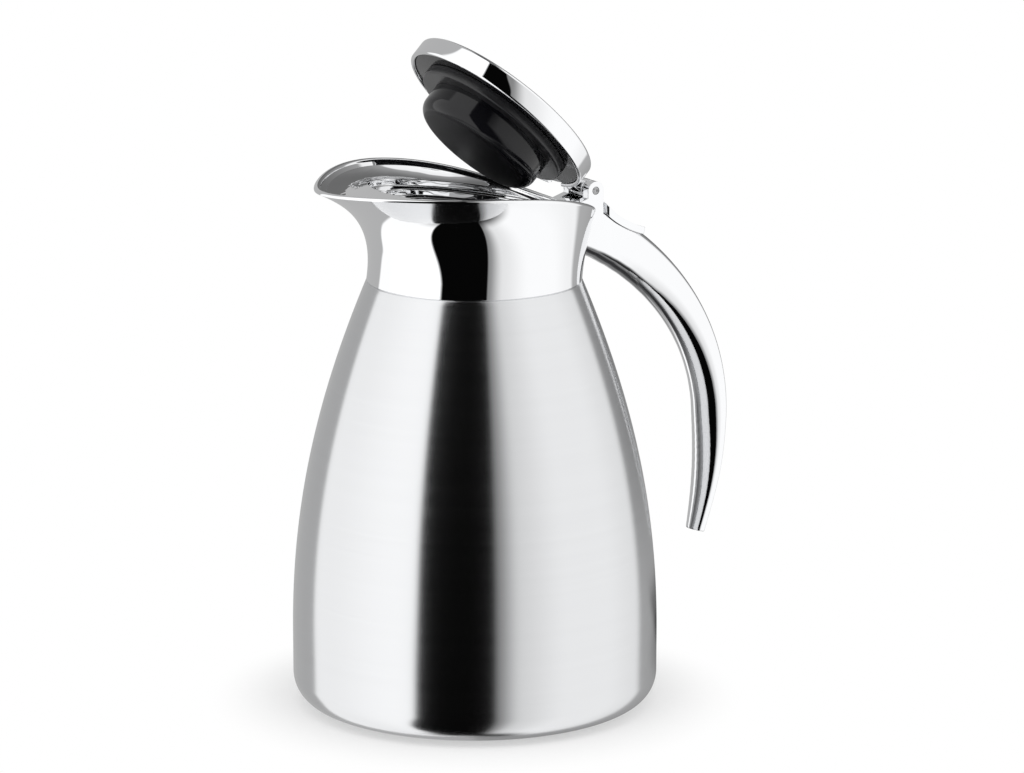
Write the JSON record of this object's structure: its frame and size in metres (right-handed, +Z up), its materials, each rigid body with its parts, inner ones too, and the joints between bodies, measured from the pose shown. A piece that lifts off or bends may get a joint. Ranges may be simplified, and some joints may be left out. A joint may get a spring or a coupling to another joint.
{
  "type": "vacuum carafe",
  "caption": "Steel vacuum carafe with a flared pouring collar, a hooked open handle and a hinged flip lid with stopper and thumb lever.",
  "frame": {"origin": "on the body's axis, at the level of the foot ring's underside", "axes": "+X towards the handle, -X towards the spout, +Z up along the body's axis"},
  "size_m": [0.1763, 0.134, 0.2464],
  "materials": {
    "brushed_steel": "brushed",
    "inner_steel": "satin",
    "screw_steel": "plain",
    "chrome": "mirror polish",
    "gloss_black": "gloss",
    "black_plastic": "matte",
    "silicone_black": "semi gloss",
    "rubber_black": "matte",
    "foam": "foam"
  },
  "bodies": {
    "jug": {"outer_shell": "brushed_steel", "base_plate": "brushed_steel", "evacuation_cap": "inner_steel", "foot_ring": "rubber_black", "inner_vessel": "inner_steel", "inner_floor": "inner_steel", "getter": "inner_steel", "lock_ring": "black_plastic", "spout_collar": "chrome", "pour_funnel": "chrome", "mouth_gasket": "silicone_black", "handle": "chrome", "handle_screws": "screw_steel", "hinge_pin": "screw_steel", "hinge_washers": "screw_steel"},
    "lid": {"lid_cap": "chrome", "lid_plate": "gloss_black", "stopper_bowl": "gloss_black", "stopper_insulation": "foam", "stopper_seal": "silicone_black", "stopper_screw": "screw_steel", "thumb_lever": "chrome", "lever_screws": "screw_steel"}
  },
  "joints": [
    {"name": "lid_hinge", "type": "hinge", "parent": "jug", "child": "lid", "pos_m": [0.0478, 0, 0.1862], "axis": [0, 1, 0], "range_deg": [-36.4, 0]}
  ]
}
